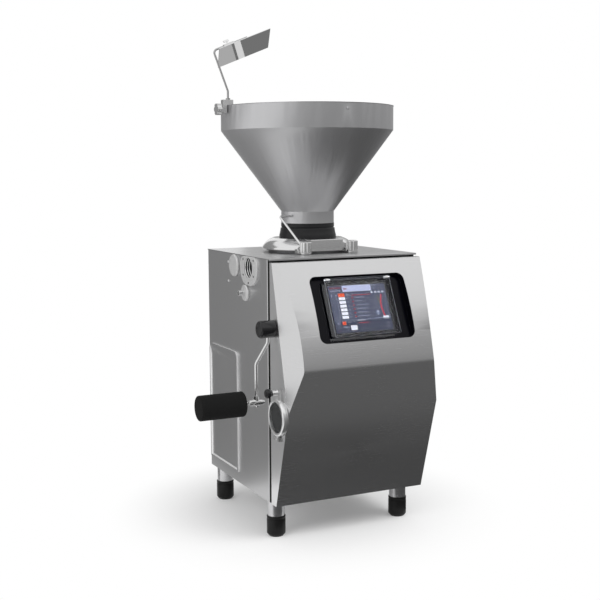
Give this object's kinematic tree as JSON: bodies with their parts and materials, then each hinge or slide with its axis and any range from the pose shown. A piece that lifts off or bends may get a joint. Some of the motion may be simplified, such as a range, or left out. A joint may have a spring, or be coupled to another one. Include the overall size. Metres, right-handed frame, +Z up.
{
  "type": "vacuum filler",
  "caption": "Upright sausage-filling machine: steel cabinet on four feet, tilting funnel hopper, vane pump with side outlet, sloped touch display, knee lever and mirror arm.",
  "frame": {"origin": "on the floor, in the middle of the four feet and under the hopper's axis", "axes": "+X to the machine's right as its operator sees it, -Y out of the front cover, +Z up"},
  "size_m": [0.957, 0.8673, 1.9356],
  "materials": {
    "brushed_stainless": "brushed sheet, satin",
    "polished_steel": "polished",
    "painted_steel": "satin dark grey",
    "black_rubber": "matt",
    "black_plastic": "gloss",
    "black_foam": "fine-pored foam",
    "screen_glass": "display glass",
    "clear_plastic": "clear sheet",
    "sight_glass": "clear glass",
    "mirror_face": "polished plate",
    "aluminium": "machined"
  },
  "bodies": {
    "root": {"leg_tubes": "brushed_stainless", "foot_caps": "black_rubber", "base_frame": "painted_steel", "cabinet_shell": "brushed_stainless", "base_pan": "brushed_stainless", "top_cover": "brushed_stainless", "front_cover": "brushed_stainless", "cover_frame": "painted_steel", "display_tray": "black_plastic", "display_panel": "black_plastic", "display_screen": "screen_glass", "flap_clips": "clear_plastic", "pump_housing": "brushed_stainless", "lid_seal": "black_rubber", "shaft_bearings": "polished_steel", "drive_belt": "black_rubber", "drive_motor": "painted_steel", "outlet_flange": "brushed_stainless", "blanking_cap": "brushed_stainless", "drive_boss": "brushed_stainless", "side_hatch": "brushed_stainless", "lever_pivot": "polished_steel", "sight_glass_housing": "polished_steel", "hinge_bracket": "brushed_stainless", "hinge_pins": "polished_steel", "vacuum_pump": "painted_steel", "vacuum_pipes": "polished_steel", "rear_cover": "brushed_stainless", "cover_screws": "polished_steel", "switch_base": "black_plastic", "servo_drive_unit": "painted_steel"},
    "hopper": {"hopper_shell": "brushed_stainless", "neck_collar": "black_plastic", "hopper_base": "brushed_stainless", "stay_rod": "polished_steel", "mirror_clamp": "polished_steel"},
    "left_knob": {"left_clamp_knob": "polished_steel"},
    "right_knob": {"right_clamp_knob": "polished_steel"},
    "star_screw": {"clamp_star_screw": "polished_steel"},
    "mirror_arm": {"mirror_rod": "polished_steel"},
    "mirror": {"mirror_plate": "mirror_face", "mirror_clip": "polished_steel"},
    "wing_screw": {"mirror_wing_screw": "polished_steel"},
    "rotor": {"pump_rotor": "polished_steel", "rotor_vanes": "black_plastic", "rotor_shaft": "polished_steel", "rotor_pulley": "aluminium"},
    "motor_drive": {"motor_pulley": "aluminium"},
    "linking_drive": {"linking_stub": "polished_steel"},
    "flap": {"splash_flap": "clear_plastic"},
    "lever": {"knee_hub": "black_plastic", "knee_rod": "polished_steel", "cross_clamp": "polished_steel", "roller_spindle": "polished_steel"},
    "lever_screw": {"clamp_screw": "polished_steel"},
    "roller": {"knee_roller": "black_foam"},
    "sight_lid": {"glass_ring": "polished_steel", "glass_pane": "sight_glass"},
    "sight_knob": {"sight_glass_knob": "black_plastic"},
    "mains_switch": {"mains_knob": "black_plastic"}
  },
  "joints": [
    {"name": "hopper_tilt", "type": "hinge", "parent": "root", "child": "hopper", "pos_m": [0, 0.206, 1.09], "axis": [-1, 0, 0], "range_deg": [0, 70]},
    {"name": "left_knob_turn", "type": "hinge", "parent": "hopper", "child": "left_knob", "pos_m": [-0.101, -0.188, 1.0732], "axis": [0, 0, 1], "continuous": true},
    {"name": "right_knob_turn", "type": "hinge", "parent": "hopper", "child": "right_knob", "pos_m": [0.101, -0.188, 1.0732], "axis": [0, 0, 1], "continuous": true},
    {"name": "star_screw_turn", "type": "hinge", "parent": "hopper", "child": "star_screw", "pos_m": [-0.37, 0, 1.622], "axis": [-1, 0, 0], "continuous": true},
    {"name": "mirror_swivel", "type": "hinge", "parent": "hopper", "child": "mirror_arm", "pos_m": [-0.338, 0, 1.65], "axis": [0, 0, 1], "range_deg": [-120, 120]},
    {"name": "mirror_tilt", "type": "hinge", "parent": "mirror_arm", "child": "mirror", "pos_m": [-0.395, 0, 1.841], "axis": [0.9272, 0, 0.3746], "range_deg": [-40, 40]},
    {"name": "wing_screw_turn", "type": "hinge", "parent": "mirror", "child": "wing_screw", "pos_m": [-0.33195, 0, 1.86647], "axis": [-0.2857, 0.6468, 0.7071], "continuous": true},
    {"name": "rotor_spin", "type": "hinge", "parent": "root", "child": "rotor", "pos_m": [0, 0, 0.975], "axis": [0, 0, 1], "continuous": true},
    {"name": "motor_spin", "type": "hinge", "parent": "root", "child": "motor_drive", "pos_m": [0, 0.19, 0.72], "axis": [0, 0, 1], "continuous": true},
    {"name": "linking_spin", "type": "hinge", "parent": "root", "child": "linking_drive", "pos_m": [-0.325, -0.103, 0.921], "axis": [1, 0, 0], "continuous": true},
    {"name": "flap_lift", "type": "hinge", "parent": "root", "child": "flap", "pos_m": [0.005, -0.40452, 0.98667], "axis": [-1, 0, 0], "range_deg": [0, 100]},
    {"name": "knee_lever_swing", "type": "hinge", "parent": "root", "child": "lever", "pos_m": [-0.3154, -0.358, 0.814], "axis": [1, 0, 0], "range_deg": [0, 20], "stiffness_Nm_per_rad": 20},
    {"name": "clamp_screw_turn", "type": "hinge", "parent": "lever", "child": "lever_screw", "pos_m": [-0.387, -0.34, 0.547], "axis": [0, 1, 0], "continuous": true},
    {"name": "roller_spin", "type": "hinge", "parent": "lever", "child": "roller", "pos_m": [-0.44, -0.358, 0.547], "axis": [1, 0, 0], "continuous": true},
    {"name": "sight_lid_open", "type": "hinge", "parent": "root", "child": "sight_lid", "pos_m": [-0.329, -0.414, 0.418], "axis": [0, -1, 0], "range_deg": [0, 100]},
    {"name": "sight_knob_turn", "type": "hinge", "parent": "sight_lid", "child": "sight_knob", "pos_m": [-0.363, -0.424, 0.59], "axis": [-1, 0, 0], "continuous": true},
    {"name": "mains_switch_turn", "type": "hinge", "parent": "root", "child": "mains_switch", "pos_m": [-0.19, 0.32, 0.94], "axis": [0, 1, 0], "range_deg": [0, 90]}
  ],
  "couplings": [
    {"joint": "motor_spin", "follows": "rotor_spin", "ratio": 2.75}
  ]
}
